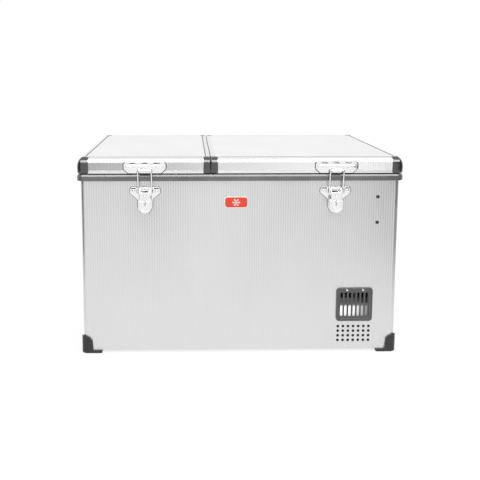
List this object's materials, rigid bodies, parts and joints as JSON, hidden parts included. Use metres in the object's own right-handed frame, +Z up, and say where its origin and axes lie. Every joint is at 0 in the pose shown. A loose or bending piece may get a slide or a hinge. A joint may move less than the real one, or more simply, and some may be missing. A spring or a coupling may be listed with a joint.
{
  "type": "compressor cooler fridge",
  "caption": "Wide insulated chest fridge with hinged lids over separate compartments, draw latches, end drop handles, lattice baskets and a vented compressor bay.",
  "frame": {"origin": "on the floor under the middle of the overall box", "axes": "+X along the width towards the compressor end, -Y towards the latches at the front, +Z up"},
  "size_m": [0.789, 0.5275, 0.472],
  "materials": {
    "embossed_steel": "fine vertical embossing, satin",
    "galvanised_steel": "dull zinc",
    "liner_plastic": "soft sheen",
    "foam": "rigid foam",
    "roll_bond_aluminium": "plain",
    "satin_lid_metal": "satin with fine embossing",
    "dark_plastic": "fine grain",
    "black_plastic": "moulded",
    "chrome": "polished",
    "pin_steel": "plain",
    "basket_steel": "white coated",
    "black_paint": "gloss black",
    "soft_rubber": "matt",
    "copper": "dull copper",
    "converter_metal": "anodised",
    "display_glass": "gloss dark window",
    "button_plastic": "smooth",
    "badge_plastic": "smooth"
  },
  "bodies": {
    "cabinet": {"ac_inlet": "dark_plastic", "badge": "badge_plastic", "base_pan": "galvanised_steel", "body_hinge_leaves": "pin_steel", "body_screws": "pin_steel", "compressor": "black_paint", "compressor_controller": "black_paint", "compressor_grommets": "soft_rubber", "condenser_fins": "roll_bond_aluminium", "condenser_tube": "copper", "control_panel": "dark_plastic", "corner_feet": "dark_plastic", "dc_socket": "dark_plastic", "display_window": "display_glass", "evaporators": "roll_bond_aluminium", "fan_frame": "black_plastic", "front_grille": "dark_plastic", "handle_plates": "chrome", "hinge_pins": "pin_steel", "insulation_foam": "foam", "left_latch_base": "chrome", "left_liner": "liner_plastic", "outer_shell": "embossed_steel", "power_supply": "converter_metal", "refrigerant_lines": "copper", "right_latch_base": "chrome", "right_liner": "liner_plastic", "side_grille": "dark_plastic", "top_rim": "dark_plastic"},
    "left_lid": {"left_lid_frame": "satin_lid_metal", "left_lid_corner_caps": "dark_plastic", "left_lid_top_sheet": "embossed_steel", "left_lid_foam": "foam", "left_lid_inner_pan": "liner_plastic", "left_lid_gasket": "soft_rubber", "left_lid_hinge_leaves": "pin_steel", "left_latch_keeper": "chrome"},
    "left_latch_lever": {"left_latch_lever": "chrome"},
    "left_latch_bail": {"left_latch_bail": "chrome"},
    "left_basket": {"left_basket": "basket_steel"},
    "left_handle": {"left_handle_bar": "chrome", "left_handle_grip": "soft_rubber"},
    "right_lid": {"right_lid_frame": "satin_lid_metal", "right_lid_corner_caps": "dark_plastic", "right_lid_top_sheet": "embossed_steel", "right_lid_foam": "foam", "right_lid_inner_pan": "liner_plastic", "right_lid_gasket": "soft_rubber", "right_lid_hinge_leaves": "pin_steel", "right_latch_keeper": "chrome"},
    "right_latch_lever": {"right_latch_lever": "chrome"},
    "right_latch_bail": {"right_latch_bail": "chrome"},
    "right_basket": {"right_basket": "basket_steel"},
    "right_handle": {"right_handle_bar": "chrome", "right_handle_grip": "soft_rubber"},
    "power_button": {"power_button": "button_plastic"},
    "set_button": {"set_button": "button_plastic"},
    "down_button": {"down_button": "button_plastic"},
    "up_button": {"up_button": "button_plastic"},
    "fan": {"fan_rotor": "black_plastic"}
  },
  "joints": [
    {"name": "left_lid_hinge", "type": "hinge", "parent": "cabinet", "child": "left_lid", "pos_m": [-0.2245, 0.258, 0.438], "axis": [-1, 0, 0], "range_deg": [0, 100]},
    {"name": "left_latch_lever_hinge", "type": "hinge", "parent": "cabinet", "child": "left_latch_lever", "pos_m": [-0.222, -0.2495, 0.398], "axis": [-1, 0, 0], "range_deg": [0, 105]},
    {"name": "left_latch_bail_hinge", "type": "hinge", "parent": "left_latch_lever", "child": "left_latch_bail", "pos_m": [-0.222, -0.252, 0.387], "axis": [-1, 0, 0], "range_deg": [-126, 0]},
    {"name": "left_basket_lift", "type": "slide", "parent": "cabinet", "child": "left_basket", "axis": [0, 0, 1], "range_m": [0, 0.09]},
    {"name": "right_lid_hinge", "type": "hinge", "parent": "cabinet", "child": "right_lid", "pos_m": [0.1555, 0.258, 0.438], "axis": [-1, 0, 0], "range_deg": [0, 100]},
    {"name": "right_latch_lever_hinge", "type": "hinge", "parent": "cabinet", "child": "right_latch_lever", "pos_m": [0.222, -0.2495, 0.398], "axis": [-1, 0, 0], "range_deg": [0, 105]},
    {"name": "right_latch_bail_hinge", "type": "hinge", "parent": "right_latch_lever", "child": "right_latch_bail", "pos_m": [0.222, -0.252, 0.387], "axis": [-1, 0, 0], "range_deg": [-126, 0]},
    {"name": "right_basket_lift", "type": "slide", "parent": "cabinet", "child": "right_basket", "axis": [0, 0, 1], "range_m": [0, 0.09]},
    {"name": "left_handle_hinge", "type": "hinge", "parent": "cabinet", "child": "left_handle", "pos_m": [-0.386, 0, 0.366], "axis": [0, 1, 0], "range_deg": [0, 90]},
    {"name": "right_handle_hinge", "type": "hinge", "parent": "cabinet", "child": "right_handle", "pos_m": [0.386, 0, 0.366], "axis": [0, -1, 0], "range_deg": [0, 90]},
    {"name": "power_button_press", "type": "slide", "parent": "cabinet", "child": "power_button", "axis": [-1, 0, 0], "range_m": [0, 0.0012], "stiffness_N_per_m": 800},
    {"name": "set_button_press", "type": "slide", "parent": "cabinet", "child": "set_button", "axis": [-1, 0, 0], "range_m": [0, 0.0012], "stiffness_N_per_m": 800},
    {"name": "down_button_press", "type": "slide", "parent": "cabinet", "child": "down_button", "axis": [-1, 0, 0], "range_m": [0, 0.0012], "stiffness_N_per_m": 800},
    {"name": "up_button_press", "type": "slide", "parent": "cabinet", "child": "up_button", "axis": [-1, 0, 0], "range_m": [0, 0.0012], "stiffness_N_per_m": 800},
    {"name": "fan_spin", "type": "hinge", "parent": "cabinet", "child": "fan", "pos_m": [0.297, -0.194, 0.084], "axis": [0, -1, 0], "continuous": true}
  ],
  "couplings": [
    {"joint": "left_latch_bail_hinge", "follows": "left_latch_lever_hinge", "ratio": -1.2},
    {"joint": "right_latch_bail_hinge", "follows": "right_latch_lever_hinge", "ratio": -1.2}
  ]
}
